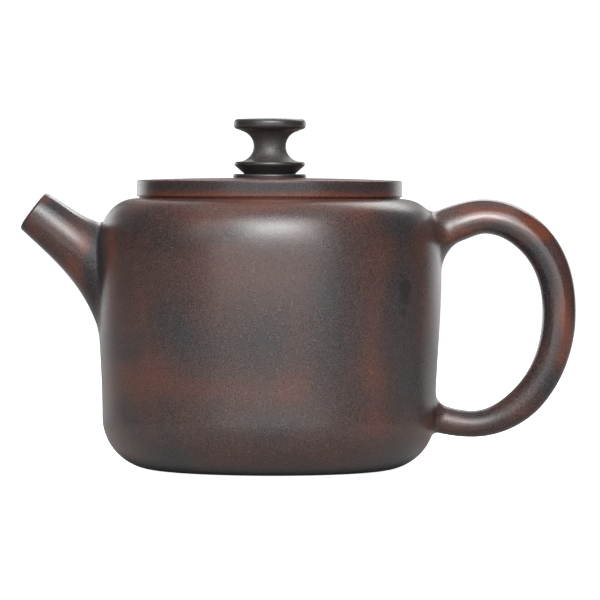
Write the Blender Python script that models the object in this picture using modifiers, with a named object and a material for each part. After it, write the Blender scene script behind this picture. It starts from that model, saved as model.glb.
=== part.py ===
"""A round clay teapot, as the pieces a potter lutes together.

Metres, +Z up. The origin is the centre of the base, on the surface the pot stands on.
The spout points along -X and the handle along +X.
Luted pieces (stuck with slip, which is wet clay) keep a gap of SLIP between them for that layer.
"""

import math

import bmesh
import bpy
from mathutils import Matrix, Vector

MM = 0.001

# Pot: driving dimensions
BODY_RADIUS = 40.55 * MM  # widest, under the shoulder
FOOT_TAPER = 1.05 * MM  # how much narrower the wall is above the lower rounding
BODY_HEIGHT = 63.75 * MM
SHOULDER_ROUND = 10.4 * MM
FOOT_ROUND = 12.3 * MM
WALL = 2.6 * MM
SLIP = 0.3 * MM

# Where the wall is closed by its discs
SHOULDER_SEAM_DEG = 70.0  # on the shoulder's arc, 90 being its flat top
FOOT_OPENING = 23.5 * MM  # radius
MOUTH_RADIUS = 26.0 * MM
MOUTH_RING_WIDTH = 2.6 * MM
MOUTH_RING_DEPTH = 3.0 * MM
MOUTH_RING_PROUD = 0.1 * MM
MOUTH_EDGE_ROUND = 0.5 * MM

# Lid
LID_RADIUS = 31.25 * MM
LID_EDGE = 3.8 * MM
LID_TOP_ROUND = 0.8 * MM
LID_UNDER_ROUND = 0.35 * MM
LID_CROWN = 0.35 * MM  # how much the lid rises from its edge to its middle
LID_LIFT_GAP = 0.3 * MM
COLLAR_CLEARANCE = 0.4 * MM
COLLAR_WALL = 2.4 * MM
COLLAR_DEPTH = 6.9 * MM
COLLAR_ROUND = 0.6 * MM
VENT_RADIUS = 1.0 * MM

# Knob: a thin disc under a spool
KNOB_BASE_RADIUS = 8.6 * MM
KNOB_BASE_THICK = 0.6 * MM
KNOB_BASE_ROUND = 0.25 * MM
KNOB_WAIST_RADIUS = 6.0 * MM
KNOB_CONE_HEIGHT = 1.5 * MM
KNOB_RADIUS = 8.5 * MM
KNOB_FLANGE = 1.4 * MM
KNOB_NECK_RADIUS = 3.8 * MM
KNOB_HOLLOW_ROUND = 3.65 * MM  # radius of the concave neck, seen from the side
KNOB_TOP = 2.75 * MM
KNOB_TOP_CROWN = 0.2 * MM
KNOB_ROUND = 0.55 * MM

# Spout: its upper and lower outlines in the XZ plane, tip to root, each a cubic Bezier
SPOUT_UPPER = [(-52.9, 64.55), (-49.0, 63.5), (-44.5, 60.0), (-39.6, 57.9)]
SPOUT_LOWER = [(-58.7, 57.2), (-52.6, 51.3), (-40.7, 40.2), (-40.0, 30.0)]
SPOUT_TIP_HALF_WIDTH = 4.64 * MM
SPOUT_ROOT_HALF_WIDTH = 8.6 * MM
SPOUT_SPREAD = 1.6  # above 1, the spout widens mostly near the pot
SPOUT_EGG = 0.35  # how much wider the root is towards its top
SPOUT_WALL = 1.8 * MM

# Strainer dome, luted inside the wall over the hole that feeds the spout
STRAINER_HEIGHT = 45.5 * MM  # of its centre above the base
STRAINER_RADIUS = 9.2 * MM
STRAINER_WALL = 1.4 * MM
STRAINER_HOLE_RADIUS = 0.9 * MM
STRAINER_RINGS = [(0, 1), (23, 6), (45, 12), (67, 16)]  # (degrees off the dome's axis, holes)
WALL_HOLE_RADIUS = 6.0 * MM

# Handle: its centre line in the XZ plane as knots of (x, z, way it runs in degrees, radius)
HANDLE_KNOTS = [
    (37.8, 54.4, 36.0, 6.0),
    (43.4, 57.65, 22.0, 4.4),
    (51.5, 59.45, -3.0, 4.08),
    (62.6, 53.75, -47.0, 4.15),
    (68.4, 37.5, -90.0, 3.95),
    (61.5, 17.5, -131.0, 3.72),
    (46.5, 10.75, 180.0, 3.05),
    (37.8, 12.7, 163.0, 3.6),
]
HANDLE_ARM = 0.345  # each knot's arms, as a share of the distance to its neighbour

ROUND_STEPS = 48
BASE_STEPS = 47  # odd, so that no facet's edge crosses the middle of the base
KNOB_STEPS = 32
SPOUT_RINGS = 9
SPOUT_STEPS = 24


def material(name, colour, roughness):
    """A Principled material. Colour is linear RGB."""
    made = bpy.data.materials.new(name)
    made.use_nodes = True
    shader = made.node_tree.nodes["Principled BSDF"]
    shader.inputs["Base Color"].default_value = (*colour, 1.0)
    shader.inputs["Roughness"].default_value = roughness
    shader.inputs["Metallic"].default_value = 0.0
    return made


def add_object(name, mesh, clay, collection):
    obj = bpy.data.objects.new(name, mesh)
    if clay is not None:
        mesh.materials.append(clay)
    collection.objects.link(obj)
    return obj


def arc(centre, radius, start_deg, end_deg, steps):
    """Points (r, z) along an arc in the profile plane, both ends included. 0 points outwards and 90 up."""
    points = []
    for i in range(steps + 1):
        angle = math.radians(start_deg + (end_deg - start_deg) * i / steps)
        points.append((centre[0] + radius * math.cos(angle), centre[1] + radius * math.sin(angle)))
    return points


def turned(name, profile, clay, collection, steps=ROUND_STEPS, closed=True):
    """A solid of revolution about Z. The profile runs down its outer side.

    A profile that isn't closed starts and ends on the axis.
    """
    mesh = bpy.data.meshes.new(name)
    shape = bmesh.new()
    vertices = [shape.verts.new((r, 0, z)) for r, z in profile]
    for first, second in zip(vertices, vertices[1:]):
        shape.edges.new((first, second))
    if closed:
        shape.edges.new((vertices[-1], vertices[0]))
    shape.to_mesh(mesh)
    shape.free()
    obj = add_object(name, mesh, clay, collection)
    screw = obj.modifiers.new("turn", "SCREW")
    screw.axis = "Z"
    screw.angle = math.tau
    screw.steps = steps
    screw.render_steps = steps
    screw.use_merge_vertices = True
    screw.merge_threshold = 0.00001
    screw.use_smooth_shade = True
    return obj


def cut(obj, cutter, operation="DIFFERENCE"):
    boolean = obj.modifiers.new(cutter.name, "BOOLEAN")
    boolean.operation = operation
    boolean.object = cutter


def move_to(obj, collection):
    for owner in list(obj.users_collection):
        owner.objects.unlink(obj)
    collection.objects.link(obj)
    return obj


def hide(cutter):
    cutter.hide_render = True
    cutter.display_type = "WIRE"
    return cutter


def shoulder_centre():
    return (BODY_RADIUS - SHOULDER_ROUND, BODY_HEIGHT - SHOULDER_ROUND)


def foot_centre():
    return (BODY_RADIUS - FOOT_TAPER - FOOT_ROUND, FOOT_ROUND)


def wall_radius(z):
    """Outer radius of the pot's side between its two roundings: a slow taper towards the foot."""
    top = shoulder_centre()[1]
    share = (top - z) / (top - FOOT_ROUND)
    return BODY_RADIUS - FOOT_TAPER * share * share * (3 - 2 * share)


def body_radius(z):
    """Outer radius of the pot at any height above the lower rounding's centre."""
    centre = shoulder_centre()
    if z <= centre[1]:
        return wall_radius(z)
    return centre[0] + math.sqrt(SHOULDER_ROUND**2 - (z - centre[1]) ** 2)


def side_profile(inset, top_deg, arc_steps=6, wall_steps=4):
    """The pot's side, moved inwards by inset, from top_deg on the shoulder's arc to the end of the foot's."""
    shoulder = arc(shoulder_centre(), SHOULDER_ROUND - inset, top_deg, 0, arc_steps)
    foot = arc(foot_centre(), FOOT_ROUND - inset, 0, -90, arc_steps)
    top, bottom = shoulder_centre()[1], FOOT_ROUND
    heights = [top + (bottom - top) * i / wall_steps for i in range(1, wall_steps)]
    return shoulder + [(wall_radius(z) - inset, z) for z in heights] + foot


def build_body_wall(clay, parts):
    outer = side_profile(0, SHOULDER_SEAM_DEG)
    inner = side_profile(WALL, SHOULDER_SEAM_DEG, arc_steps=4, wall_steps=2)
    foot_edge = [(FOOT_OPENING, 0), (FOOT_OPENING, WALL)]
    return turned("body_wall", outer + foot_edge + inner[::-1], clay, parts)


def build_base_disc(clay, parts):
    bpy.ops.mesh.primitive_cylinder_add(vertices=BASE_STEPS, radius=FOOT_OPENING - SLIP, depth=WALL)
    disc = bpy.context.object
    disc.name = "base_disc"
    disc.location = (0, 0, WALL / 2)
    disc.data.shade_smooth()
    disc.data.set_sharp_from_angle(angle=math.radians(30))
    disc.data.materials.append(clay)
    return move_to(disc, parts)


def mouth_ring_outer():
    return MOUTH_RADIUS + MOUTH_RING_WIDTH


def build_shoulder_disc(clay, parts):
    """The ring that closes the wall at the top. Its outer edge follows the shoulder's arc."""
    seam = SHOULDER_SEAM_DEG + math.degrees(SLIP / SHOULDER_ROUND)
    outer = arc(shoulder_centre(), SHOULDER_ROUND, 90, seam, 3)
    under = arc(shoulder_centre(), SHOULDER_ROUND - WALL, seam, 90, 3)
    hole = mouth_ring_outer() + SLIP
    profile = [(hole, BODY_HEIGHT)] + outer + under + [(hole, BODY_HEIGHT - WALL)]
    return turned("shoulder_disc", profile, clay, parts)


def mouth_top():
    return BODY_HEIGHT + MOUTH_RING_PROUD


def build_mouth_ring(clay, parts):
    top, bottom = mouth_top(), mouth_top() - MOUTH_RING_DEPTH
    edge = MOUTH_EDGE_ROUND
    inner_edge = arc((MOUTH_RADIUS + edge, top - edge), edge, 180, 90, 2)
    outer_edge = arc((mouth_ring_outer() - edge / 2, top - edge / 2), edge / 2, 90, 0, 2)
    profile = inner_edge + outer_edge + [(mouth_ring_outer(), bottom), (MOUTH_RADIUS, bottom)]
    return turned("mouth_ring", profile, clay, parts)


def lid_bottom():
    return mouth_top() + LID_LIFT_GAP


def lid_top():
    """Height of the lid's middle, where the knob stands."""
    return lid_bottom() + LID_EDGE + LID_CROWN


def build_lid_disc(clay, parts):
    bottom, edge_top = lid_bottom(), lid_bottom() + LID_EDGE
    crown_reach = LID_RADIUS - LID_TOP_ROUND
    crown = []
    for share in (0.3, 0.6, 0.85):
        crown.append((crown_reach * share, edge_top + LID_CROWN * (1 - share * share)))
    upper_edge = arc((crown_reach, edge_top - LID_TOP_ROUND), LID_TOP_ROUND, 90, 0, 3)
    lower_edge = arc((LID_RADIUS - LID_UNDER_ROUND, bottom + LID_UNDER_ROUND), LID_UNDER_ROUND, 0, -90, 2)
    profile = [(VENT_RADIUS, lid_top())] + crown + upper_edge + lower_edge + [(VENT_RADIUS, bottom)]
    return turned("lid_disc", profile, clay, parts)


def build_lid_collar(clay, parts):
    """The ring under the lid that drops into the mouth and keeps the lid in place."""
    outer = MOUTH_RADIUS - COLLAR_CLEARANCE
    top = lid_bottom() - SLIP
    bottom = top - COLLAR_DEPTH
    lower_edge = arc((outer - COLLAR_ROUND, bottom + COLLAR_ROUND), COLLAR_ROUND, 0, -90, 3)
    inner_edge = arc((outer - COLLAR_WALL + COLLAR_ROUND, bottom + COLLAR_ROUND), COLLAR_ROUND, -90, -180, 3)
    profile = [(outer, top)] + lower_edge + inner_edge + [(outer - COLLAR_WALL, top)]
    return turned("lid_collar", profile, clay, parts)


def knob_base_top():
    return lid_top() + SLIP + KNOB_BASE_THICK


def build_knob_base(clay, parts):
    bottom, top = lid_top() + SLIP, knob_base_top()
    upper_edge = arc((KNOB_BASE_RADIUS - KNOB_BASE_ROUND, top - KNOB_BASE_ROUND), KNOB_BASE_ROUND, 90, 0, 2)
    profile = [(VENT_RADIUS, top)] + upper_edge + [(KNOB_BASE_RADIUS, bottom), (VENT_RADIUS, bottom)]
    return turned("knob_base", profile, clay, parts, steps=KNOB_STEPS)


def build_knob(clay, parts):
    """The spool, bored for the vent: a rounded disc, a concave neck and a flange that tapers in below."""
    bottom = knob_base_top() + SLIP
    flange_bottom = bottom + KNOB_CONE_HEIGHT
    neck_bottom = flange_bottom + KNOB_FLANGE
    hollow = (KNOB_NECK_RADIUS + KNOB_HOLLOW_ROUND, neck_bottom + KNOB_HOLLOW_ROUND)
    disc_bottom = hollow[1] + KNOB_HOLLOW_ROUND
    disc_top = disc_bottom + KNOB_TOP
    top_round = KNOB_TOP / 2 - 0.25 * MM
    edge = KNOB_RADIUS - top_round
    profile = [(VENT_RADIUS, disc_top + KNOB_TOP_CROWN)]
    profile += [(edge * 0.6, disc_top + KNOB_TOP_CROWN * 0.64)]
    profile += arc((edge, disc_top - top_round), top_round, 90, 0, 3)
    profile += arc((edge, disc_bottom + top_round), top_round, 0, -90, 3)
    profile += arc(hollow, KNOB_HOLLOW_ROUND, 95, 265, 9)
    profile += arc((KNOB_RADIUS - KNOB_ROUND, neck_bottom - KNOB_ROUND), KNOB_ROUND, 80, -40, 4)
    profile += [(KNOB_WAIST_RADIUS, bottom), (VENT_RADIUS, bottom)]
    return turned("knob", profile, clay, parts, steps=KNOB_STEPS)


def bezier(points, share):
    """The point at share along a cubic Bezier through 2D control points in millimetres, in metres."""
    rest = 1 - share
    weights = (rest**3, 3 * rest**2 * share, 3 * rest * share**2, share**3)
    x = sum(w * p[0] for w, p in zip(weights, points))
    z = sum(w * p[1] for w, p in zip(weights, points))
    return Vector((x, 0, z)) * MM


def spout_ring(share, inset):
    """One section of the spout, inset below its outside: an egg between the upper and lower outlines."""
    upper, lower = bezier(SPOUT_UPPER, share), bezier(SPOUT_LOWER, share)
    half_width = SPOUT_TIP_HALF_WIDTH + (SPOUT_ROOT_HALF_WIDTH - SPOUT_TIP_HALF_WIDTH) * share**SPOUT_SPREAD
    scale = (half_width - inset) / half_width
    centre, reach = (upper + lower) / 2, (upper - lower) / 2 * scale
    points = []
    for i in range(SPOUT_STEPS):
        angle = math.tau * i / SPOUT_STEPS
        side = half_width * scale * math.sin(angle) * (1 + SPOUT_EGG * share * math.cos(angle))
        points.append(centre + reach * math.cos(angle) + Vector((0, side, 0)))
    return points


def on_body(point, gap):
    """The point moved along X onto the pot's outside, held off by gap."""
    radius = body_radius(point.z) + gap
    return Vector((-math.sqrt(radius**2 - point.y**2), point.y, point.z))


def build_spout(clay, parts):
    """A tapering tube lofted through its sections: down the outside to its root, then back up the bore."""
    shares = [i / SPOUT_RINGS for i in range(SPOUT_RINGS + 1)]
    outside = [spout_ring(share, 0) for share in shares]
    bore = [spout_ring(share, SPOUT_WALL) for share in shares]
    for rings in (outside, bore):
        rings[-1] = [on_body(point, SLIP) for point in rings[-1]]
    shape = bmesh.new()
    rings = [[shape.verts.new(point) for point in ring] for ring in outside + bore[::-1]]
    for ring, following in zip(rings, rings[1:] + rings[:1]):
        for i in range(SPOUT_STEPS):
            j = (i + 1) % SPOUT_STEPS
            shape.faces.new((ring[i], ring[j], following[j], following[i]))
    bmesh.ops.recalc_face_normals(shape, faces=shape.faces)
    mesh = bpy.data.meshes.new("spout")
    shape.to_mesh(mesh)
    shape.free()
    mesh.shade_smooth()
    return add_object("spout", mesh, clay, parts)


def build_body_solid(name, inset, cutters):
    """The pot's outline as one full solid, moved inwards by inset, for trimming what is luted to it."""
    side = side_profile(inset, 90)
    profile = [(0, BODY_HEIGHT - inset)] + side + [(0, inset)]
    return hide(turned(name, profile, None, cutters, closed=False))


def build_wall_hole(cutters):
    bpy.ops.mesh.primitive_cylinder_add(vertices=24, radius=WALL_HOLE_RADIUS, depth=6 * WALL)
    hole = bpy.context.object
    hole.name = "wall_hole"
    hole.rotation_euler = (0, math.radians(90), 0)
    hole.location = (WALL / 2 - body_radius(STRAINER_HEIGHT), 0, STRAINER_HEIGHT)
    return hide(move_to(hole, cutters))


def strainer_place():
    """Local +Z of the dome points into the pot, along +X."""
    turn = Matrix.Rotation(math.radians(90), 4, "Y")
    inner = body_radius(STRAINER_HEIGHT) - WALL
    return Matrix.Translation((-inner + STRAINER_WALL / 2, 0, STRAINER_HEIGHT)) @ turn


def build_strainer_holes(cutters):
    shape = bmesh.new()
    length = 3 * STRAINER_WALL
    for off_axis, count in STRAINER_RINGS:
        for i in range(count):
            around = Matrix.Rotation(math.tau * i / count, 4, "Z")
            tilt = Matrix.Rotation(math.radians(off_axis), 4, "Y")
            out = Matrix.Translation((0, 0, STRAINER_RADIUS - STRAINER_WALL / 2))
            bmesh.ops.create_cone(
                shape,
                cap_ends=True,
                segments=6,
                radius1=STRAINER_HOLE_RADIUS,
                radius2=STRAINER_HOLE_RADIUS,
                depth=length,
                matrix=around @ tilt @ out,
            )
    mesh = bpy.data.meshes.new("strainer_holes")
    shape.to_mesh(mesh)
    shape.free()
    holes = add_object("strainer_holes", mesh, None, cutters)
    holes.matrix_world = strainer_place()
    return hide(holes)


def build_strainer(clay, parts, cutters):
    """A pierced dome whose rim follows the inside of the wall."""
    inner = STRAINER_RADIUS - STRAINER_WALL
    skirt = -4 * STRAINER_WALL
    outside = arc((0, 0), STRAINER_RADIUS, 90, 0, 7)
    inside = arc((0, 0), inner, 0, 90, 7)
    profile = outside + [(STRAINER_RADIUS, skirt), (inner, skirt)] + inside
    profile[0], profile[-1] = (0, STRAINER_RADIUS), (0, inner)
    strainer = turned("strainer", profile, clay, parts, steps=28, closed=False)
    strainer.matrix_world = strainer_place()
    cut(strainer, build_body_solid("pot_inside", WALL + SLIP, cutters), "INTERSECT")
    cut(strainer, build_strainer_holes(cutters))
    return strainer


def add_handle_knots(spline):
    spline.bezier_points.add(len(HANDLE_KNOTS) - 1)
    for knot, (x, z, _, radius) in zip(spline.bezier_points, HANDLE_KNOTS):
        knot.co = Vector((x, 0, z)) * MM
        knot.radius = radius
    last = len(HANDLE_KNOTS) - 1
    for i, (_, _, way, _) in enumerate(HANDLE_KNOTS):
        knot = spline.bezier_points[i]
        before = spline.bezier_points[max(i - 1, 0)]
        after = spline.bezier_points[min(i + 1, last)]
        direction = Vector((math.cos(math.radians(way)), 0, math.sin(math.radians(way))))
        knot.handle_left = knot.co - direction * HANDLE_ARM * (knot.co - before.co).length
        knot.handle_right = knot.co + direction * HANDLE_ARM * (after.co - knot.co).length


def build_handle(clay, parts, cutters):
    """A tapering ear of clay, trimmed where it meets the pot."""
    curve = bpy.data.curves.new("handle_line", "CURVE")
    curve.dimensions = "3D"
    curve.bevel_depth = MM
    curve.bevel_resolution = 4
    curve.resolution_u = 6
    curve.use_fill_caps = True
    add_handle_knots(curve.splines.new("BEZIER"))
    line = bpy.data.objects.new("handle_line", curve)
    parts.objects.link(line)
    bpy.context.view_layer.update()
    graph = bpy.context.evaluated_depsgraph_get()
    mesh = bpy.data.meshes.new_from_object(line.evaluated_get(graph))
    bpy.data.objects.remove(line)
    shape = bmesh.new()
    shape.from_mesh(mesh)
    bmesh.ops.remove_doubles(shape, verts=shape.verts, dist=0.01 * MM)
    bmesh.ops.recalc_face_normals(shape, faces=shape.faces)
    shape.to_mesh(mesh)
    shape.free()
    mesh.name = "handle"
    mesh.shade_smooth()
    handle = add_object("handle", mesh, clay, parts)
    cut(handle, build_body_solid("pot_outside", -SLIP, cutters))
    return handle


def main():
    for obj in list(bpy.data.objects):
        bpy.data.objects.remove(obj)
    parts = bpy.data.collections.new("teapot")
    cutters = bpy.data.collections.new("cutters")
    bpy.context.scene.collection.children.link(parts)
    bpy.context.scene.collection.children.link(cutters)
    brown = material("fired_clay", (0.105, 0.058, 0.044), 0.42)
    dark = material("dark_clay", (0.035, 0.033, 0.034), 0.36)

    wall = build_body_wall(brown, parts)
    cut(wall, build_wall_hole(cutters))
    build_base_disc(brown, parts)
    build_shoulder_disc(brown, parts)
    build_mouth_ring(brown, parts)
    build_spout(brown, parts)
    build_strainer(brown, parts, cutters)
    build_handle(brown, parts, cutters)
    build_lid_disc(brown, parts)
    build_lid_collar(brown, parts)
    build_knob_base(dark, parts)
    build_knob(dark, parts)


main()
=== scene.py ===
"""The looks of a burnished clay teapot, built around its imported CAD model.

Metres, +Z up, in the CAD model's frame: the origin is the centre of the base, -X the spout, +X the handle.
Pieces that the potter lutes together touch here without a gap, so that the pot reads as one skin of clay.
"""

import math

import bmesh
import bpy
import numpy as np
from mathutils import Matrix, Vector, noise


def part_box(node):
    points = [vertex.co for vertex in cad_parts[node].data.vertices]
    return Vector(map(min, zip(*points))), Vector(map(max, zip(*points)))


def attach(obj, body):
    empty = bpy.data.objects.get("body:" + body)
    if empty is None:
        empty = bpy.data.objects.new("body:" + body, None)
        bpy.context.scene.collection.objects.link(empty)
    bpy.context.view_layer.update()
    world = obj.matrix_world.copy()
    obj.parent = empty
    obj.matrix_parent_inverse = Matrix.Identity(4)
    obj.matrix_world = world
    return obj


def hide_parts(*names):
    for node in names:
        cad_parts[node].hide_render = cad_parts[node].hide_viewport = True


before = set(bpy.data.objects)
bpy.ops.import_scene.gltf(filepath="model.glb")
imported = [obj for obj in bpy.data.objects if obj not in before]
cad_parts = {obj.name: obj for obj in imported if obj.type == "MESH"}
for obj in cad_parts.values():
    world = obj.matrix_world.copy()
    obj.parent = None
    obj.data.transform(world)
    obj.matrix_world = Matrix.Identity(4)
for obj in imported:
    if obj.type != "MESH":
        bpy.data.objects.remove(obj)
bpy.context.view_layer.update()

MM = 0.001

# The pot's outline, as the CAD model has it
BODY_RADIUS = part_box("body_wall")[1].x
BODY_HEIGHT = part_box("shoulder_disc")[1].z
SHOULDER_IN = 10.4 * MM
SHOULDER_DROP = 14.0 * MM
SHOULDER_POWER = 2.4  # 2 would be an ellipse; more is squarer
FOOT_ROUND = 12.3 * MM
FOOT_TAPER = 1.25 * MM
TAPER_FROM = 45.0 * MM
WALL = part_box("base_disc")[1].z
SLIP = 0.3 * MM

ROUND_STEPS = 192
SHARP_DEG = 32  # edges sharper than this stay sharp under smooth shading


# ---------------------------------------------------------------- meshes


def make_piece(name, vertices, faces, body):
    """A smooth-shaded mesh object that rides on a body."""
    mesh = bpy.data.meshes.new(name)
    mesh.from_pydata([tuple(v) for v in vertices], [], faces)
    mesh.update()
    mesh.shade_smooth()
    mesh.set_sharp_from_angle(angle=math.radians(SHARP_DEG))
    piece = bpy.data.objects.new(name, mesh)
    bpy.context.scene.collection.objects.link(piece)
    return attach(piece, body)


def band_faces(rings, steps, loop):
    """Quads between each ring of points and the next. A loop joins the last ring to the first."""
    faces = []
    for k in range(rings if loop else rings - 1):
        first, second = k * steps, (k + 1) % rings * steps
        for i in range(steps):
            j = (i + 1) % steps
            faces.append((first + i, first + j, second + j, second + i))
    return faces


def ring_piece(name, rings, body, loop=True, flip=False):
    """A piece skinned over rings of points. Without a loop, its two ends are closed by fans."""
    steps = len(rings[0])
    vertices = [point for ring in rings for point in ring]
    faces = band_faces(len(rings), steps, loop)
    if not loop:
        last = len(rings) - 1
        for end, order in ((0, 1), (last, -1)):
            ring_start = end * steps
            hub = len(vertices)
            vertices.append(rings[end].mean(0))
            for i in range(steps):
                pair = (ring_start + (i + 1) % steps, ring_start + i)
                faces.append((hub, *pair[::order]))
    if flip:
        faces = [face[::-1] for face in faces]
    return make_piece(name, vertices, faces, body)


def arc(centre, radius, start_deg, end_deg, steps):
    """Points (r, z) along an arc in the profile plane. 0 points outwards and 90 up."""
    angles = np.radians(np.linspace(start_deg, end_deg, steps + 1))
    return [(centre[0] + radius * math.cos(a), centre[1] + radius * math.sin(a)) for a in angles]


def line(start, end, steps):
    """Points after start, up to and with end."""
    return [
        (start[0] + (end[0] - start[0]) * i / steps, start[1] + (end[1] - start[1]) * i / steps)
        for i in range(1, steps + 1)
    ]


def turned(name, profile, body, steps=ROUND_STEPS):
    """A solid of revolution about Z, from a closed profile that runs down its outer side."""
    angles = np.arange(steps) * math.tau / steps
    rings = [
        np.stack([r * np.cos(angles), r * np.sin(angles), np.full(steps, z)], -1)
        for r, z in profile
    ]
    return ring_piece(name, rings, body, flip=True)


# ---------------------------------------------------------------- the pot's outline


def wall_radius(z):
    """Outer radius of the side between its two roundings: a slow taper towards the foot."""
    share = np.clip((TAPER_FROM - z) / (TAPER_FROM - FOOT_ROUND), 0, 1)
    return BODY_RADIUS - FOOT_TAPER * share * share * (3 - 2 * share)


def outline_radius(z):
    """Outer radius of the pot at a height, for numbers or arrays. The limits keep its slope finite."""
    z = np.asarray(z, float)
    over = np.clip((z - (BODY_HEIGHT - SHOULDER_DROP)) / SHOULDER_DROP, 0, 0.9999)
    under = np.clip((FOOT_ROUND - z) / FOOT_ROUND, 0, 0.999)
    return (
        wall_radius(z)
        - SHOULDER_IN * (1 - (1 - over**SHOULDER_POWER) ** (1 / SHOULDER_POWER))
        - FOOT_ROUND * (1 - np.sqrt(1 - under * under))
    )


def outline_normal(z):
    """The outline's outward normal (r part, z part)."""
    step = 0.01 * MM
    slope = (outline_radius(z + step) - outline_radius(z - step)) / (2 * step)
    across = 1 / np.hypot(1, slope)
    return across, -slope * across


def surface_point(side, theta, z, height):
    """A point held height off the pot's outside. Side is 1 towards the handle and -1 towards the spout."""
    across, up = outline_normal(z)
    radius = outline_radius(z) + height * across
    return np.stack([side * radius * np.cos(theta), radius * np.sin(theta), z + height * up], -1)


PLACE_ROUNDS = 8


def surface_place(side, points):
    """The reverse of surface_point: theta, z and height of each point, found in a few rounds."""
    theta = np.arctan2(points[:, 1], side * points[:, 0])
    radius = np.hypot(points[:, 0], points[:, 1])
    z = points[:, 2].copy()
    for _ in range(PLACE_ROUNDS):
        across, up = outline_normal(z)
        height = (radius - outline_radius(z)) * across + (points[:, 2] - z) * up
        z = points[:, 2] - height * up
    return theta, z, height


HALVINGS = 40
ROOT_RINGS = 14


def luted_root(side, tube, inside, outside, reach):
    """Where a tube of clay is smoothed on to the pot.

    tube(u) gives a ring of points for an array of u, one for each point. It is inside the pot's skin at
    u = inside and outside at u = outside. Reach is how far the smoothed clay goes, up the tube and over
    the pot. Returns the u at which the plain tube ends, and the rings from there down to the skin.
    """
    low, high = np.full(len(reach), inside), np.full(len(reach), outside)
    for _ in range(HALVINGS):
        middle = (low + high) / 2
        points = tube(middle)
        out = np.hypot(points[:, 0], points[:, 1]) > outline_radius(points[:, 2])
        high = np.where(out, middle, high)
        low = np.where(out, low, middle)
    meet = (low + high) / 2
    corner = tube(meet)
    near, far = meet.copy(), np.full(len(reach), outside)
    for _ in range(HALVINGS):
        middle = (near + far) / 2
        beyond = np.linalg.norm(tube(middle) - corner, axis=1) > reach
        far = np.where(beyond, middle, far)
        near = np.where(beyond, near, middle)
    start = (near + far) / 2

    theta, z, _ = surface_place(side, corner)
    across, up = outline_normal(z)
    away = corner - corner.mean(0)
    normal = np.stack([side * across * np.cos(theta), across * np.sin(theta), up], -1)
    away -= normal * (away * normal).sum(1, keepdims=True)
    away /= np.linalg.norm(away, axis=1, keepdims=True)
    sideways = np.stack([-side * np.sin(theta), np.cos(theta), np.zeros_like(z)], -1)
    upwards = np.stack([-side * up * np.cos(theta), -up * np.sin(theta), across], -1)
    spread_theta = (away * sideways).sum(1) * reach / outline_radius(z)
    spread_z = (away * upwards).sum(1) * across * reach

    smoothed = []
    for v in np.linspace(0, 1, ROOT_RINGS + 1):
        theta, z, height = surface_place(side, tube(meet + (start - meet) * (1 - v) ** 2))
        theta = theta + v * v * spread_theta
        smoothed.append(surface_point(side, theta, z + v * v * spread_z, height))
    return start, smoothed


# ---------------------------------------------------------------- pot pieces

SHOULDER_SEAM_DEG = 70.0


def shoulder_curve(inset, start_deg, end_deg, steps):
    """Points (r, z) round the shoulder, moved in by inset. 0 is where it leaves the side and 90 its top."""
    points = []
    for turn in np.radians(np.linspace(start_deg, end_deg, steps + 1)):
        out = max(math.cos(turn), 0.0) ** (2 / SHOULDER_POWER)
        up = max(math.sin(turn), 0.0) ** (2 / SHOULDER_POWER)
        power = SHOULDER_POWER - 1
        normal = Vector((out**power / SHOULDER_IN, up**power / SHOULDER_DROP))
        normal.normalize()
        points.append((
            BODY_RADIUS - SHOULDER_IN * (1 - out) - inset * normal.x,
            BODY_HEIGHT - SHOULDER_DROP * (1 - up) - inset * normal.y,
        ))
    return points


def side_profile(inset, arc_steps, wall_steps):
    """The pot's side from its shoulder's seam to the bottom of its foot's rounding, moved in by inset."""
    shoulder = shoulder_curve(inset, SHOULDER_SEAM_DEG, 0, arc_steps)
    foot_centre = (BODY_RADIUS - FOOT_TAPER - FOOT_ROUND, FOOT_ROUND)
    foot = arc(foot_centre, FOOT_ROUND - inset, 0, -90, arc_steps)
    heights = np.linspace(BODY_HEIGHT - SHOULDER_DROP, FOOT_ROUND, wall_steps + 1)[1:-1]
    return shoulder + [(float(wall_radius(z)) - inset, z) for z in heights] + foot


FOOT_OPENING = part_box("base_disc")[1].x + SLIP
BASE_HUB = 0.2 * MM  # a disc's profile stops this far from the axis


def body_wall():
    """The side with its shoulder and foot, open at both ends."""
    outer = side_profile(0, 36, 40)
    inner = side_profile(WALL, 18, 16)
    foot = line(outer[-1], (FOOT_OPENING, 0), 3) + [(FOOT_OPENING, WALL)]
    return turned("wall", outer + foot + inner[::-1], "pot")


def base_disc():
    profile = [(BASE_HUB, WALL), (FOOT_OPENING, WALL), (FOOT_OPENING, 0), (BASE_HUB, 0)]
    return turned("base", profile, "pot")


MOUTH_LOW, MOUTH_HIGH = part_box("mouth_ring")
MOUTH_RADIUS = 26.0 * MM


def shoulder_disc():
    outer = shoulder_curve(0, 90, SHOULDER_SEAM_DEG, 10)
    under = shoulder_curve(WALL, SHOULDER_SEAM_DEG, 90, 8)
    hole = MOUTH_HIGH.x
    profile = [(hole, BODY_HEIGHT)] + outer + under + [(hole, BODY_HEIGHT - WALL)]
    return turned("shoulder", profile, "pot")


def mouth_ring():
    edge, chamfer = 0.5 * MM, 0.1 * MM
    outer, top, bottom = MOUTH_HIGH.x, MOUTH_HIGH.z, MOUTH_LOW.z
    profile = arc((MOUTH_RADIUS + edge, top - edge), edge, 180, 90, 6)
    profile += [(outer - chamfer, top), (outer, BODY_HEIGHT), (outer, bottom), (MOUTH_RADIUS, bottom)]
    return turned("mouth", profile, "pot")


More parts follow.
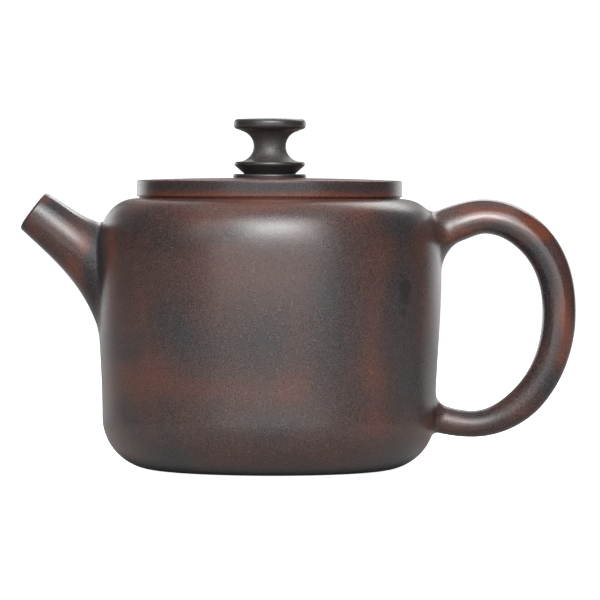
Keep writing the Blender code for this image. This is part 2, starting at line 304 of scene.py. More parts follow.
# The spout's upper and lower outlines: Bezier curves of (x, z) in millimetres, from its tip to its root
SPOUT_UPPER = [(-52.9, 64.9), (-48.3, 62.75), (-44.4, 58.5), (-38.0, 57.5)]
SPOUT_LOWER = [(-59.0, 56.7), (-50.6, 49.0), (-41.9, 42.0), (-39.3, 28.8)]
SPOUT_TIP_HALF = 4.64 * MM
SPOUT_ROOT_HALF = 9.6 * MM
SPOUT_SPREAD = 1.6
SPOUT_EGG = -0.16  # below 0 the spout is widest under its middle
SPOUT_WALL = 1.8 * MM
SPOUT_LIP = 0.7 * MM
SPOUT_INNER_LIP = 0.5 * MM
SPOUT_STEPS = 96
# Shares along the spout, where 0 is its tip and 1 its root
SPOUT_INSIDE = 1.25  # well inside the pot
SPOUT_OUTSIDE = 0.35  # well outside it
SPOUT_BORE_END = 1.1


def bezier(points, share):
    """Points along a Bezier curve in the XZ plane, which runs on straight past its end."""
    along = np.clip(share, None, 1)[:, None]
    past = share[:, None] - along
    rest = 1 - along
    a, b, c, d = (np.array([p[0], 0, p[1]]) * MM for p in points)
    curve = rest**3 * a + 3 * rest**2 * along * b + 3 * rest * along**2 * c + along**3 * d
    return curve + past * 3 * (d - c)


def spout_ring(share, inset=0.0):
    """A ring of the spout, 0 at its tip and 1 at its root. Share is one number or one for each point."""
    angle = np.arange(SPOUT_STEPS) * math.tau / SPOUT_STEPS
    share = np.broadcast_to(np.asarray(share, float), angle.shape)
    upper, lower = bezier(SPOUT_UPPER, share), bezier(SPOUT_LOWER, share)
    half = SPOUT_TIP_HALF + (SPOUT_ROOT_HALF - SPOUT_TIP_HALF) * np.clip(share, 0, 2) ** SPOUT_SPREAD
    scale = (half - inset) / half
    up = np.cos(angle)
    sideways = half * scale * np.sin(angle) * (1 + SPOUT_EGG * up)
    ring = (upper + lower) / 2 + (upper - lower) / 2 * (scale * up)[:, None]
    ring[:, 1] = sideways
    return ring


def spout():
    """One skin of the lip, the outside, its smoothed root, the bore and the lip's inner edge."""
    angle = np.arange(SPOUT_STEPS) * math.tau / SPOUT_STEPS
    reach = (1.7 - 0.7 * np.cos(angle)) * MM  # least on top
    start, smoothed = luted_root(
        -1, lambda u: spout_ring(SPOUT_INSIDE - u), 0.0, SPOUT_INSIDE - SPOUT_OUTSIDE, reach
    )
    near_tip = 0.1
    length = np.linalg.norm(spout_ring(0).mean(0) - spout_ring(near_tip).mean(0)) / near_tip
    lip = []
    for turn in np.radians((90, 72, 54, 36, 18)):
        depth = SPOUT_LIP * (1 - math.sin(turn)) / length
        lip.append(spout_ring(depth, SPOUT_LIP * (1 - math.cos(turn))))
    first = SPOUT_LIP / length
    end = SPOUT_INSIDE - start
    outside = [spout_ring(first + (end - first) * k / 36) for k in range(36)]
    theta, z, _ = surface_place(-1, spout_ring(SPOUT_BORE_END, SPOUT_WALL))
    bore = [surface_point(-1, theta, z, 0 * z)]
    bore += [spout_ring(share, SPOUT_WALL) for share in np.linspace(1.0, 0.03, 20)]
    inner_lip = []
    for turn in np.radians((0, 30, 60, 90)):
        depth = SPOUT_INNER_LIP * (1 - math.sin(turn)) / length
        inner_lip.append(spout_ring(depth, SPOUT_WALL - SPOUT_INNER_LIP * (1 - math.cos(turn))))
    return ring_piece("spout_clay", lip + outside + smoothed + bore + inner_lip, "pot", flip=True)


# The handle's centre line as knots of (x, z, way it runs in degrees, radius, egg), in millimetres.
# Its section is widest towards the inside of the bend where egg is above 0, and the outside below 0.
HANDLE_KNOTS = [
    (37.0, 54.7, 30.0, 4.6, 0.2),
    (43.4, 57.8, 20.0, 4.35, 0.28),
    (51.4, 59.65, -3.0, 4.05, 0.28),
    (62.75, 53.9, -47.0, 4.15, 0.12),
    (68.4, 37.5, -90.0, 3.95, 0.0),
    (61.6, 17.6, -131.0, 3.8, -0.1),
    (47.9, 10.75, 180.0, 3.12, -0.2),
    (37.0, 12.9, 162.0, 3.4, -0.1),
]
HANDLE_ARM = 0.345  # the curve's arms, against the distance between knots
HANDLE_KNOT_STEPS = 40
HANDLE_STEPS = 64
HANDLE_RINGS = 140
HANDLE_WIDTH = 1.06  # across the handle, against its thickness
HANDLE_OUTSIDE = 20.0 * MM  # this far along from either end, the handle is well outside the pot


def handle_line():
    """Closely spaced centres, outward normals, radii and eggs along the handle."""
    centres, sections = [], []
    for first, second in zip(HANDLE_KNOTS, HANDLE_KNOTS[1:]):
        a, b = np.array(first[:2]), np.array(second[:2])
        arm = HANDLE_ARM * np.linalg.norm(b - a)
        turn_a, turn_b = math.radians(first[2]), math.radians(second[2])
        points = (
            a,
            a + arm * np.array([math.cos(turn_a), math.sin(turn_a)]),
            b - arm * np.array([math.cos(turn_b), math.sin(turn_b)]),
            b,
        )
        for t in np.arange(HANDLE_KNOT_STEPS) / HANDLE_KNOT_STEPS:
            weights = ((1 - t) ** 3, 3 * (1 - t) ** 2 * t, 3 * (1 - t) * t * t, t**3)
            centres.append(sum(w * p for w, p in zip(weights, points)))
            smooth = t * t * (3 - 2 * t)
            sections.append(np.array(first[3:]) * (1 - smooth) + np.array(second[3:]) * smooth)
    centres.append(np.array(HANDLE_KNOTS[-1][:2]))
    sections.append(np.array(HANDLE_KNOTS[-1][3:]))
    centres = np.array(centres) * MM
    tangents = np.gradient(centres, axis=0)
    tangents /= np.linalg.norm(tangents, axis=1, keepdims=True)
    normals = np.stack([-tangents[:, 1], tangents[:, 0]], -1)
    radii, eggs = np.array(sections).T
    return centres, normals, radii * MM, eggs


def handle():
    """One skin of the upper root, the tube and the lower root."""
    centres, normals, radii, eggs = handle_line()
    places = np.concatenate([[0], np.cumsum(np.linalg.norm(np.diff(centres, axis=0), axis=1))])
    angle = np.arange(HANDLE_STEPS) * math.tau / HANDLE_STEPS

    def tube(u):
        u = np.broadcast_to(u, angle.shape)
        x, z = (np.interp(u, places, centres[:, i]) for i in (0, 1))
        nx, nz = (np.interp(u, places, normals[:, i]) for i in (0, 1))
        radius = np.interp(u, places, radii)
        egg = np.interp(u, places, eggs)
        out = radius * np.cos(angle)
        sideways = HANDLE_WIDTH * radius * np.sin(angle) * (1 - egg * np.cos(angle))
        return np.stack([x + nx * out, sideways, z + nz * out], -1)

    inner = (1 - np.cos(angle)) / 2  # 1 on the inside of the bend
    total = places[-1]
    upper_start, upper_root = luted_root(1, tube, 0.0, HANDLE_OUTSIDE, (1.9 + 3.6 * inner) * MM)
    lower_start, lower_root = luted_root(
        1, lambda u: tube(total - u), 0.0, HANDLE_OUTSIDE, (1.4 + 1.6 * inner) * MM
    )
    length = total - lower_start - upper_start
    between = [tube(upper_start + length * k / HANDLE_RINGS) for k in range(1, HANDLE_RINGS)]
    return ring_piece("handle_clay", upper_root[::-1] + between + lower_root, "pot", loop=False)


# ---------------------------------------------------------------- lid pieces

LID_LOW, LID_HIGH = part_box("lid_disc")
LID_CROWN = LID_HIGH.z + 0.3 * MM
LID_CROWN_POWER = 2.4  # 2 would be a parabola; more is flatter in the middle
LID_EDGE_TOP = LID_HIGH.z - 0.32 * MM
LID_TOP_ROUND = 0.5 * MM
LID_UNDER_ROUND = 0.25 * MM
# The low ring under the lid, which closes the gap to the shoulder outside the mouth's ring
LID_SEAT = BODY_HEIGHT + 0.04 * MM
LID_SEAT_OUTER = 30.8 * MM
LID_SEAT_INNER = 28.9 * MM
LID_SEAT_SLOPE = 0.1 * MM
VENT_RADIUS = 1.0 * MM


def lid_disc():
    """The flat lid and its vent, with a low ring underneath."""
    outer, bottom = LID_HIGH.x, LID_LOW.z
    reach = outer - LID_TOP_ROUND
    rise = LID_CROWN - LID_EDGE_TOP
    profile = [(VENT_RADIUS, LID_CROWN)]
    profile += [
        (reach * share, LID_EDGE_TOP + rise * (1 - share**LID_CROWN_POWER))
        for share in np.linspace(0.05, 0.99, 30)
    ]
    profile += arc((reach, LID_EDGE_TOP - LID_TOP_ROUND), LID_TOP_ROUND, 90, 0, 10)
    profile += line(profile[-1], (outer, bottom + LID_UNDER_ROUND), 8)[:-1]
    profile += arc((outer - LID_UNDER_ROUND, bottom + LID_UNDER_ROUND), LID_UNDER_ROUND, 0, -90, 6)
    profile += [(LID_SEAT_OUTER, bottom), (LID_SEAT_OUTER - LID_SEAT_SLOPE, LID_SEAT)]
    profile += [(LID_SEAT_INNER, LID_SEAT)]
    profile += line((LID_SEAT_INNER, bottom), (VENT_RADIUS, bottom), 10)
    return turned("lid", profile, "lid")


def lid_collar():
    low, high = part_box("lid_collar")
    edge, thick = 0.6 * MM, 2.4 * MM
    outer, top = high.x, LID_LOW.z
    profile = [(outer, top)]
    profile += arc((outer - edge, low.z + edge), edge, 0, -90, 6)
    profile += arc((outer - thick + edge, low.z + edge), edge, -90, -180, 6)
    profile += [(outer - thick, top)]
    return turned("collar", profile, "collar")


def knob_base():
    """The thin disc under the knob."""
    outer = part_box("knob_base")[1].x
    edge = 0.45 * MM
    bottom = LID_HIGH.z
    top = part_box("knob")[0].z
    profile = [(VENT_RADIUS, top)]
    profile += arc((outer - edge, top - edge), edge, 90, -20, 10)
    profile += [(profile[-1][0], bottom), (VENT_RADIUS, bottom)]
    return turned("knob_foot", profile, "lid", 128)


def knob():
    """From the top: a disc, a hollow neck, a flange, and a cone down to the waist it stands on."""
    low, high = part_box("knob")
    radius, waist = high.x, 6.0 * MM
    neck, hollow_round = 3.8 * MM, 3.65 * MM
    cone, disc_round = 1.5 * MM, 1.05 * MM
    flange, flange_edge, flange_radius = 1.4 * MM, 0.58 * MM, radius - 0.2 * MM
    neck_bottom = low.z + cone + flange
    hollow = (neck + hollow_round, neck_bottom + hollow_round)
    disc_bottom = hollow[1] + hollow_round + 0.28 * MM
    disc_top = high.z - 0.2 * MM
    edge = radius - disc_round
    profile = [(VENT_RADIUS, high.z)]
    profile += [
        (edge * share, disc_top + (high.z - disc_top) * (1 - share * share))
        for share in np.linspace(0.2, 0.95, 10)
    ]
    profile += arc((edge, disc_top - disc_round), disc_round, 90, 0, 12)
    profile += arc((edge, disc_bottom + disc_round), disc_round, 0, -90, 12)
    profile += arc(hollow, hollow_round, 106, 263, 40)
    profile += arc((flange_radius - flange_edge, neck_bottom - flange_edge), flange_edge, 80, -40, 12)
    profile += line(profile[-1], (waist, low.z), 6) + [(VENT_RADIUS, low.z)]
    return turned("knob_spool", profile, "lid", 160)


# ---------------------------------------------------------------- build

PIECES = {
    "body_wall": body_wall,
    "base_disc": base_disc,
    "shoulder_disc": shoulder_disc,
    "mouth_ring": mouth_ring,
    "spout": spout,
    "handle": handle,
    "lid_disc": lid_disc,
    "lid_collar": lid_collar,
    "knob_base": knob_base,
    "knob": knob,
}
made = {}
for node, build in PIECES.items():
    piece = build()
    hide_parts(node)
    made[node] = piece


# ---------------------------------------------------------------- patina, and painted shade at the spout's root

# The slate along the spout's root also paints the shade in the crease there.
# Soft patches where the kiln left the clay redder (below 0) or turned it to slate (above 0).
# Each is (x, z, half width, half height, amount), in millimetres, and goes right through to the back.
POT_PATCHES = [
    # shoulder
    (0, 63.5, 14, 3.0, -1.0), (20, 62.5, 9, 2.5, -0.6), (-27, 63.5, 6, 1.8, -0.6),
    (-17, 59, 7, 2.0, -0.4), (18, 58.7, 6, 1.9, -0.25), (-31.5, 58, 5, 4, 0.6),
    (-23, 54.5, 4.2, 3.8, 0.6), (-9, 56, 4.5, 2.2, 0.5), (0, 56.2, 7, 2.6, 0.6), (30, 59, 5.5, 4.8, 0.85),
    # upright bands of slate on the right, and the red one between them
    (14.7, 35.5, 5.4, 23.5, 0.8), (30.5, 42, 3.4, 14, 0.7), (33, 22, 5, 9.5, 0.7),
    (24.3, 30, 2.9, 19, -0.35), (24, 21.5, 3, 3.4, -0.25), (36.5, 38, 2.4, 7, -0.4),
    (34.7, 53, 2.2, 6, -0.45), (26.4, 52, 3, 5, -0.35),
    # middle of the front
    (-8, 47, 7, 5.5, -0.15), (4, 46.5, 7, 5, -0.15), (-21.5, 35.5, 5, 7, 0.7),
    (-14.5, 30, 6.5, 5.5, 0.65), (-1, 30.5, 6.5, 7.5, 0.75), (-29, 39, 2.8, 5.5, -0.25),
    # level band of red, and the slate under it
    (-29, 22, 9, 5.5, -0.5), (-13, 20.5, 15, 3, -0.25), (5.5, 21.5, 4.8, 4.2, -0.5),
    (1.5, 13, 7.5, 3.5, 0.75), (-12, 12.5, 4.5, 4.5, 0.35), (-22.5, 12.5, 2.5, 6, 0.6),
    (-32, 12, 3, 5, 0.55),
    # by the spout and by the handle; the tall slate one along the spout's root also paints the shade in
    # that crease
    (-36.8, 51, 1.8, 5.5, -1.0), (-37.2, 40, 2.6, 8.5, -0.35), (-39.8, 48, 1.6, 12, 1.3),
    (-39.5, 33.5, 2, 2.8, -0.6), (-34.5, 29, 4.5, 3.2, 0.5), (-38, 20, 2.2, 6.5, -0.5),
    (37.5, 8.5, 3.2, 3.6, -1.0),
    # foot
    (15.5, 4, 5.5, 3.2, -0.35), (-8, 4, 10, 2.6, -0.2), (27, 11, 8, 2.9, -0.35), (-37, 8.2, 2, 2.4, -0.8),
    (-32.5, 4.5, 3.5, 1.8, -0.5), (0, 0, 60, 2.1, 0.8), (-23, 3, 5, 3.8, 0.8), (31, 3.5, 4.2, 2.7, 0.6),
]
SPOUT_PATCHES = [
    (-51, 60.5, 3.5, 2.0, 0.9), (-55, 62.3, 2.2, 1.6, 0.5), (-48.5, 62, 3.2, 1.6, 0.6),
    (-44, 60, 3.2, 1.3, 0.5), (-58.3, 58, 1.0, 1.6, 0.7), (-56, 57, 1.8, 2.4, -0.3),
    (-55, 54.3, 1.7, 1.4, -0.35), (-53, 63.4, 1.3, 0.9, -0.6), (-44.2, 53.3, 1.9, 2.6, -1.2),
    # the tall slate patch along the root also paints the shade in the crease where the spout meets the pot
    (-46.8, 57, 1.5, 1.1, -0.35), (-40.2, 47.5, 2.1, 11, 1.6), (-41.6, 50, 1.8, 3.5, 0.7),
    (-45.5, 52, 1.5, 2.0, 0.4), (-47.5, 47, 2.3, 2.3, -0.8), (-45, 44.8, 2.6, 2.1, -0.5),
    (-42.3, 42.5, 2.6, 3.2, -0.35), (-38.5, 38, 2.6, 6, -0.4),
]
HANDLE_PATCHES = [
    (44, 55.6, 3.2, 1.9, -1.3), (48.8, 56.5, 3.2, 1.1, -0.7), (50.5, 61.2, 7, 1.7, -1.1),
    (60.5, 58.5, 2.9, 1.8, -1.1), (64.5, 55.2, 2.4, 2.4, -1.1), (53.5, 58, 2.8, 1.3, 0.5),
    (57, 56.5, 3.2, 1.8, 0.6), (62.5, 51.5, 2.9, 2.5, 0.95), (65.5, 46.5, 2.4, 3.9, 0.8),
    (65.3, 37, 1.8, 8.5, 0.7), (69.9, 33.5, 1.7, 8.5, -1.2), (68.6, 25, 1.4, 3.3, -0.5),
    (65.5, 20.5, 2.8, 3.9, 0.9), (59.5, 20, 3, 3, 0.4), (52, 12, 5, 2.0, 0.8), (46, 13.3, 4.4, 0.9, 0.6),
    (60.5, 13.5, 2.8, 1.7, -0.25), (43, 12.3, 3.3, 1.0, -0.8), (47.5, 10.9, 2.2, 0.9, -0.6),
    (41.5, 9.2, 4, 0.9, -0.6),
]
LID_PATCHES = [
    (0, 69.0, 40, 1.15, -1.0), (0, 64.2, 40, 1.25, -1.0), (1, 66.7, 20, 1.2, 0.9),
    (-24, 66.7, 7, 1.0, 0.6), (25, 66.7, 9, 0.9, 0.3),
]
PATCH_POWER = 2.4  # 2 would fade a patch out as a bell; more gives it a flatter middle
PATCH_DRIFT = 1.6 * MM
LID_PATCH_DRIFT = 0.35 * MM
PATCH_DRIFT_SIZE = 9 * MM


def paint_patina_and_crease_shade(piece, patches, wander):
    """Give each vertex the sum of the patches at its place, with their edges made to wander."""
    points = np.array([vertex.co for vertex in piece.data.vertices])
    drift = np.array([noise.noise_vector(point / PATCH_DRIFT_SIZE) for point in map(Vector, points)])
    x, _, z = ((points + drift * wander) / MM).T
    values = np.zeros(len(points))
    for centre_x, centre_z, half_x, half_z, amount in patches:
        across = np.abs((x - centre_x) / half_x) ** PATCH_POWER
        up = np.abs((z - centre_z) / half_z) ** PATCH_POWER
        values += amount * np.exp(-across - up)
    layer = piece.data.attributes.new("patina_and_crease_shade", "FLOAT", "POINT")
    layer.data.foreach_set("value", values.astype(np.float32))


PATCHES = {"spout": SPOUT_PATCHES, "handle": HANDLE_PATCHES, "lid_disc": LID_PATCHES}
for node, piece in made.items():
    if not node.startswith("knob"):
        wander = LID_PATCH_DRIFT if node == "lid_disc" else PATCH_DRIFT
        paint_patina_and_crease_shade(piece, PATCHES.get(node, POT_PATCHES), wander)


# ---------------------------------------------------------------- materials

NOISE_MIDDLE = 0.5


class Shader:
    """A short way to write a material's node tree."""

    def __init__(self, name):
        self.material = bpy.data.materials.new(name)
        self.material.use_nodes = True
        self.tree = self.material.node_tree
        self.surface = self.tree.nodes["Principled BSDF"]
        self.place = self.node("ShaderNodeTexCoord", output="Object")

    def feed(self, socket, value):
        if isinstance(value, bpy.types.NodeSocket):
            self.tree.links.new(value, socket)
        else:
            socket.default_value = value

    def node(self, kind, inputs=None, output=0, **settings):
        made = self.tree.nodes.new(kind)
        for key, value in settings.items():
            setattr(made, key, value)
        for key, value in (inputs or {}).items():
            self.feed(made.inputs[key], value)
        return made.outputs[output]

    def math(self, operation, first, second, clamp=False):
        return self.node("ShaderNodeMath", {0: first, 1: second}, operation=operation, use_clamp=clamp)

    def stretched(self, scale):
        return self.node("ShaderNodeVectorMath", {0: self.place, 1: scale}, operation="MULTIPLY")

    def noise(self, scale, detail=2.0, place=None, roughness=0.5):
        inputs = {"Vector": place or self.place, "Scale": scale, "Detail": detail, "Roughness": roughness}
        return self.node("ShaderNodeTexNoise", inputs)

    def swing(self, value, amount):
        """Noise about one half, turned into a swing about zero."""
        return self.math("MULTIPLY", self.math("SUBTRACT", value, NOISE_MIDDLE), amount)

    def chain(self, operation, values):
        """All the values put together by one operation."""
        result = values[0]
        for value in values[1:]:
            result = self.math(operation, result, value)
        return result

    def total(self, *values):
        return self.chain("ADD", values)

    def product(self, *values):
        return self.chain("MULTIPLY", values)

    def raised(self, base, mask, amount):
        """The base where the mask is 0, and amount more where it is 1."""
        return self.total(base, self.product(mask, amount))

    def axis(self, letter):
        return self.node("ShaderNodeSeparateXYZ", {0: self.place}, output=letter)

    def steps(self, value, low, high):
        """0 at low, 1 at high and smooth between them, whichever is the larger."""
        inputs = {"Value": value, "From Min": low, "From Max": high}
        return self.node("ShaderNodeMapRange", inputs, interpolation_type="SMOOTHSTEP")

    def blend(self, amount, first, second):
        """A mix of colours. The sockets go by number, as other data types have some of the same names."""
        return self.node("ShaderNodeMix", {0: amount, 6: first, 7: second}, output=2, data_type="RGBA")

    def attribute(self, name):
        return self.node("ShaderNodeAttribute", output="Fac", attribute_name=name)

    def bump(self, height, distance):
        return self.node("ShaderNodeBump", {"Height": height, "Strength": 1.0, "Distance": distance})

    def finish(self, colour, roughness, normal=None):
        self.feed(self.surface.inputs["Base Color"], colour)
        self.feed(self.surface.inputs["Roughness"], roughness)
        if normal:
            self.feed(self.surface.inputs["Normal"], normal)
        return self.material


RED_CLAY = (0.088, 0.0245, 0.0145, 1)
BROWN_CLAY = (0.0375, 0.0180, 0.0162, 1)
SLATE_CLAY = (0.0150, 0.0146, 0.0170, 1)
SPECK_CLAY = (0.105, 0.078, 0.068, 1)
BLACK_CLAY = (0.007, 0.006, 0.006, 1)
KNOB_CLAY = (0.030, 0.0265, 0.0270, 1)
WHITE = (1, 1, 1, 1)
SHEET_SEEN = (0.85, 0.85, 0.85, 1)
SHEET_SHINING = (0.35, 0.35, 0.35, 1)
SHEET_GLOW = 1.0

# Where each part of the pot begins, and where it is whole, along X
HANDLE_SIDE = (41.0 * MM, 49.0 * MM)
SPOUT_SIDE = (-41.0 * MM, -47.0 * MM)
SPOUT_ROOT = (-39.6 * MM, -41.2 * MM)
# and up Z
UPPER_HANDLE = (18.0 * MM, 40.0 * MM)
LID_FROM = (63.9 * MM, 64.2 * MM)
NECK_FROM = (72.0 * MM, 72.8 * MM)
NECK_TO = (80.2 * MM, 79.4 * MM)
# and along Y
FRONT = (0.0, -1.0 * MM)

# Noises, in cells to a metre, and how deep the sand's bumps are
UPRIGHT_SCALE, LEVEL_SCALE = 42, 55
BAND_STRETCH = 0.2
BAND_DETAIL = 1.5
CLOUD_SCALE, KNOB_CLOUD_SCALE = 130, 200
GRAIN_SCALE, KNOB_GRAIN_SCALE = 4200, 2900
GRAIN_ROUGHNESS = 0.75
SAND_SCALE, KNOB_SAND_SCALE = 4100, 3700
SAND_DEPTH = 0.022 * MM
KNOB_SAND_DEPTH = 0.020 * MM

# The patina with the painted shade at the spout's root, and the noises that swing about it
PATINA_AND_CREASE_SHADE_STRENGTH = 1.1
SMOKE_SWING = 0.4
# Grains: the noise at which they begin and are whole, and how far they take over the colour
PALE_GRAINS, PALE_AMOUNT = (0.50, 0.72), 0.6
BLACK_GRAINS, BLACK_AMOUNT = (0.56, 0.34), 0.85
SMOOTH_GRAINS = -0.4  # fewer on the parts that are smoother than the wall
# The sheen: the wall's, and what the other parts add to it
LID_GLOSS = 0.25
SPECULAR, SPECULAR_OFF_WALL, SPECULAR_ROOT = 0.5, -0.2, -0.12
ROUGHNESS, ROUGHNESS_GLOSSY, ROUGHNESS_ROOT = 0.31, -0.15, 0.12
CLOUD_SHEEN, GRAIN_SHEEN, GRAIN_SHEEN_GLOSSY = 0.08, 0.34, -0.6
# The knob: as it is, and what its neck adds
KNOB_CLOUDS = (0.1, 0.6)
KNOB_GRAINS = (0.54, 0.75)
# The neck's added paleness is partly its greyer clay and partly painted light for the sheen in its hollow
KNOB_PALE, KNOB_NECK_PALE_AND_LIT = 0.5, 0.5
KNOB_SPECKS, KNOB_SPECKS_NECK = 0.2, 0.6
KNOB_ROUGHNESS, KNOB_ROUGHNESS_NECK, KNOB_SHEEN = 0.33, 0.2, 0.2
SHEET_ROUGHNESS = 0.8

# A stain like a drip on the front, as ellipses of (x, z, half width, half height), in millimetres
DRIP = [(31.4, 43.6, 1.4, 1.4), (31.4, 41.5, 1.0, 2.1), (31.2, 37.7, 0.6, 0.85)]
DRIP_EDGE = (1.2, 0.85)  # outside and inside the edge, where 1 is on the ellipse
DRIP_EDGE_SCALE = 900
DRIP_EDGE_SWING = 0.9
DRIP_AMOUNT = 0.62


def drip(shader, along, depth, height):
    """1 on the stain and 0 off it, with a wandering edge."""
    edge = shader.swing(shader.noise(DRIP_EDGE_SCALE), DRIP_EDGE_SWING)
    stain = 0.0
    for centre_x, centre_z, half_x, half_z in DRIP:
        across = shader.math("DIVIDE", shader.math("SUBTRACT", along, centre_x * MM), half_x * MM)
        up = shader.math("DIVIDE", shader.math("SUBTRACT", height, centre_z * MM), half_z * MM)
        reach = shader.total(shader.product(across, across), shader.product(up, up), edge)
        stain = shader.math("MAXIMUM", shader.steps(reach, *DRIP_EDGE), stain)
    return shader.product(stain, shader.steps(depth, *FRONT))


def burnished_clay():
    """Red-brown clay smoked to slate in soft patches, with the grain of fine sand, and painted shade in the
    crease at the spout's root.

    The upper handle and the spout are smoother than the wall, and the lid is a little.
    """
    shader = Shader("burnished_clay")
    upright = shader.noise(UPRIGHT_SCALE, BAND_DETAIL, shader.stretched((1, 1, BAND_STRETCH)))
    level = shader.noise(LEVEL_SCALE, BAND_DETAIL, shader.stretched((BAND_STRETCH, BAND_STRETCH, 1)))
    cloud = shader.noise(CLOUD_SCALE, 3)
    grain = shader.noise(GRAIN_SCALE, 2, roughness=GRAIN_ROUGHNESS)
    sand = shader.noise(SAND_SCALE, 0.5)
    # The patina attribute holds the kiln's patches and, at the spout's root, painted shade
    smoke_and_crease_shade = shader.product(shader.attribute("patina_and_crease_shade"), PATINA_AND_CREASE_SHADE_STRENGTH)
    smoke_and_crease_shade = shader.total(smoke_and_crease_shade, *(shader.swing(part, SMOKE_SWING) for part in (upright, level, cloud)))
    warm = shader.math("MULTIPLY", smoke_and_crease_shade, -1.0, clamp=True)
    cool = shader.math("MULTIPLY", smoke_and_crease_shade, 1.0, clamp=True)

    along, depth, height = (shader.axis(letter) for letter in "XYZ")
    handle_side = shader.steps(along, *HANDLE_SIDE)
    spout_side = shader.steps(along, *SPOUT_SIDE)
    spout_root = shader.math("SUBTRACT", shader.steps(along, *SPOUT_ROOT), spout_side)
    upper_handle = shader.product(handle_side, shader.steps(height, *UPPER_HANDLE))
    lower_handle = shader.math("SUBTRACT", handle_side, upper_handle)
    lid = shader.steps(height, *LID_FROM)
    gloss = shader.total(upper_handle, spout_side, shader.product(lid, LID_GLOSS))
    off_wall = shader.total(spout_side, lower_handle, spout_root, lid)
    specular = shader.raised(SPECULAR, off_wall, SPECULAR_OFF_WALL)
    specular = shader.raised(specular, spout_root, SPECULAR_ROOT)
    shader.feed(shader.surface.inputs["Specular IOR Level"], specular)

    grainy = shader.raised(1.0, shader.math("MAXIMUM", gloss, lid), SMOOTH_GRAINS)
    pale = shader.product(shader.steps(sand, *PALE_GRAINS), grainy, PALE_AMOUNT)
    black = shader.product(shader.steps(grain, *BLACK_GRAINS), grainy, BLACK_AMOUNT)
    stain = shader.product(drip(shader, along, depth, height), DRIP_AMOUNT)
    colour = shader.blend(warm, BROWN_CLAY, RED_CLAY)
    for amount, added in ((cool, SLATE_CLAY), (pale, SPECK_CLAY), (black, BLACK_CLAY), (stain, BLACK_CLAY)):
        colour = shader.blend(amount, colour, added)
    roughness = shader.raised(ROUGHNESS, gloss, ROUGHNESS_GLOSSY)
    roughness = shader.raised(roughness, spout_root, ROUGHNESS_ROOT)
    uneven = shader.product(shader.swing(grain, GRAIN_SHEEN), shader.raised(1.0, gloss, GRAIN_SHEEN_GLOSSY))
    roughness = shader.total(roughness, shader.swing(cloud, CLOUD_SHEEN), uneven)
    return shader.finish(colour, roughness, shader.bump(sand, SAND_DEPTH))


def black_clay():
    """Charcoal clay with a few paler grains, which show most on the knob's neck; the paler neck is also
    partly painted light, for the sheen its hollow catches.
    """
    shader = Shader("black_clay")
    cloud = shader.noise(KNOB_CLOUD_SCALE, 2)
    grain = shader.noise(KNOB_GRAIN_SCALE, 2, roughness=GRAIN_ROUGHNESS)
    sand = shader.noise(KNOB_SAND_SCALE, 1.0)
    height = shader.axis("Z")
    neck = shader.product(shader.steps(height, *NECK_FROM), shader.steps(height, *NECK_TO))
    # The neck is painted paler: partly its own grey clay, partly painted light for the sheen in its hollow
    pale = shader.product(shader.steps(cloud, *KNOB_CLOUDS), shader.raised(KNOB_PALE, neck, KNOB_NECK_PALE_AND_LIT))
    specks = shader.raised(KNOB_SPECKS, neck, KNOB_SPECKS_NECK)
    colour = shader.blend(pale, BLACK_CLAY, KNOB_CLAY)
    colour = shader.blend(shader.product(shader.steps(sand, *KNOB_GRAINS), specks), colour, SPECK_CLAY)
    roughness = shader.raised(KNOB_ROUGHNESS, neck, KNOB_ROUGHNESS_NECK)
    roughness = shader.total(roughness, shader.swing(grain, KNOB_SHEEN))
    return shader.finish(colour, roughness, shader.bump(sand, KNOB_SAND_DEPTH))


def white_sheet():
    """The stage: white paper, brighter to the camera than it shines on the pot."""
    shader = Shader("white_sheet")
    camera_ray = shader.node("ShaderNodeLightPath", output="Is Camera Ray")
    shader.feed(shader.surface.inputs["Emission Color"], WHITE)
    shader.feed(shader.surface.inputs["Emission Strength"], shader.product(camera_ray, SHEET_GLOW))
    return shader.finish(shader.blend(camera_ray, SHEET_SHINING, SHEET_SEEN), SHEET_ROUGHNESS)


brown = burnished_clay()
dark = black_clay()
for node, piece in made.items():
    piece.data.materials.append(dark if node.startswith("knob") else brown)
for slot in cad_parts["strainer"].material_slots:
    slot.material = brown


# ---------------------------------------------------------------- stage

EYE = Vector((7.25, -1072, 67)) * MM
AIM = Vector((7.25, 0, 39.82)) * MM
ROLL_DEG = 0.2
LENS = 272.8
SENSOR = 36.0
CAMERA_REACH = 10.0
SOFTBOX_DISTANCE = 0.8
FLOOR_HALF = 4.0
FLOOR_DROP = 0.2 * MM

# How brightly the world shines on the pot at its sides and front, and behind it, and where the two meet
WORLD_SIDES = 0.03
WORLD_BACK = 0.3
WORLD_BACK_FROM = 0.35
WORLD_BACK_TO = 0.85
WORLD_SEEN = 1.2  # to the camera, all round

# Azimuth and elevation, width and height, in degrees, and radiance. Azimuth 0 is the camera's side.
SOFTBOXES = {
    "key": (6, 40, 46, 40, 7.0),
    "key_core": (4, 38, 26, 17, 12.5),
    "front_fill": (2, 8, 46, 26, 2.6),
    "front_fill_wide": (2, 8, 80, 26, 2.7),
    "left_fill": (-40, 35, 30, 30, 2.2),
    "right_fill": (34, 28, 11, 11, 3.0),
    "overhead_back": (168, 42, 44, 26, 4.2),
    "overhead": (0, 88, 60, 50, 0.8),
    "rim_left": (-150, -2, 30, 36, 1.9),
    "rim_right": (152, -2, 30, 36, 1.5),
    "spout_edge": (174, 46, 54, 22, 3.6),
}


def make_camera():
    camera = bpy.data.objects.new("camera", bpy.data.cameras.new("camera"))
    bpy.context.scene.collection.objects.link(camera)
    camera.data.lens = LENS
    camera.data.sensor_width = SENSOR
    camera.data.clip_end = CAMERA_REACH
    camera.location = EYE
    camera.rotation_mode = "QUATERNION"
    roll = Matrix.Rotation(math.radians(ROLL_DEG), 3, "Z").to_quaternion()
    camera.rotation_quaternion = (AIM - EYE).to_track_quat("-Z", "Y") @ roll
    bpy.context.scene.camera = camera


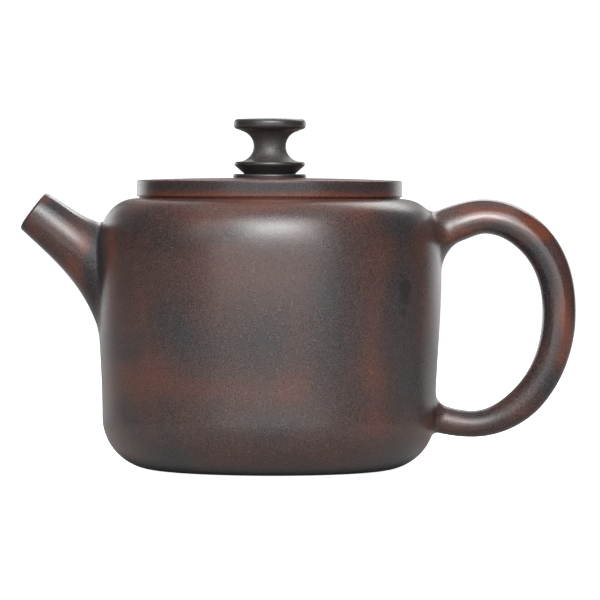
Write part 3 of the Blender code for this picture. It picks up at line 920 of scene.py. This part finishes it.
def softbox(name, azimuth, elevation, wide, tall, radiance):
    """A soft light on a sphere round the pot."""
    azimuth, elevation = math.radians(azimuth), math.radians(elevation)
    level = math.cos(elevation)
    toward = Vector((level * math.sin(azimuth), -level * math.cos(azimuth), math.sin(elevation)))
    data = bpy.data.lights.new(name, "AREA")
    data.shape = "RECTANGLE"
    data.size = 2 * SOFTBOX_DISTANCE * math.tan(math.radians(wide / 2))
    data.size_y = 2 * SOFTBOX_DISTANCE * math.tan(math.radians(tall / 2))
    data.energy = radiance * math.pi * data.size * data.size_y
    light = bpy.data.objects.new(name, data)
    bpy.context.scene.collection.objects.link(light)
    light.location = Vector((0, 0, AIM.z)) + toward * SOFTBOX_DISTANCE
    light.rotation_mode = "QUATERNION"
    light.rotation_quaternion = (-toward).to_track_quat("-Z", "Y")
    light.visible_camera = False
    return light


def make_floor():
    mesh = bpy.data.meshes.new("floor")
    shape = bmesh.new()
    bmesh.ops.create_grid(shape, x_segments=1, y_segments=1, size=FLOOR_HALF)
    shape.to_mesh(mesh)
    shape.free()
    floor = bpy.data.objects.new("floor", mesh)
    bpy.context.scene.collection.objects.link(floor)
    floor.location.z = -FLOOR_DROP
    mesh.materials.append(white_sheet())


def make_world():
    """White behind the pot and dim at its sides and front, though the camera sees white all round."""
    world = bpy.data.worlds.new("studio")
    bpy.context.scene.world = world
    world.use_nodes = True
    tree = world.node_tree
    background = tree.nodes["Background"]
    background.inputs["Color"].default_value = WHITE
    coords = tree.nodes.new("ShaderNodeTexCoord")
    parts = tree.nodes.new("ShaderNodeSeparateXYZ")
    tree.links.new(coords.outputs["Generated"], parts.inputs[0])
    back = tree.nodes.new("ShaderNodeMapRange")
    back.interpolation_type = "SMOOTHSTEP"
    back.inputs["From Min"].default_value = WORLD_BACK_FROM
    back.inputs["From Max"].default_value = WORLD_BACK_TO
    back.inputs["To Min"].default_value = WORLD_SIDES
    back.inputs["To Max"].default_value = WORLD_BACK
    tree.links.new(parts.outputs["Y"], back.inputs["Value"])
    path = tree.nodes.new("ShaderNodeLightPath")
    seen = tree.nodes.new("ShaderNodeMix")
    tree.links.new(path.outputs["Is Camera Ray"], seen.inputs[0])
    tree.links.new(back.outputs["Result"], seen.inputs[2])
    seen.inputs[3].default_value = WORLD_SEEN
    tree.links.new(seen.outputs[0], background.inputs["Strength"])


bpy.context.scene.view_settings.view_transform = "Standard"
make_camera()
make_floor()
make_world()
lights = {name: softbox(name, *settings) for name, settings in SOFTBOXES.items()}
# One softbox lights only the spout, for the bright line along its top
spout_only = bpy.data.collections.new("spout_only")
spout_only.objects.link(made["spout"])
lights["spout_edge"].light_linking.receiver_collection = spout_only
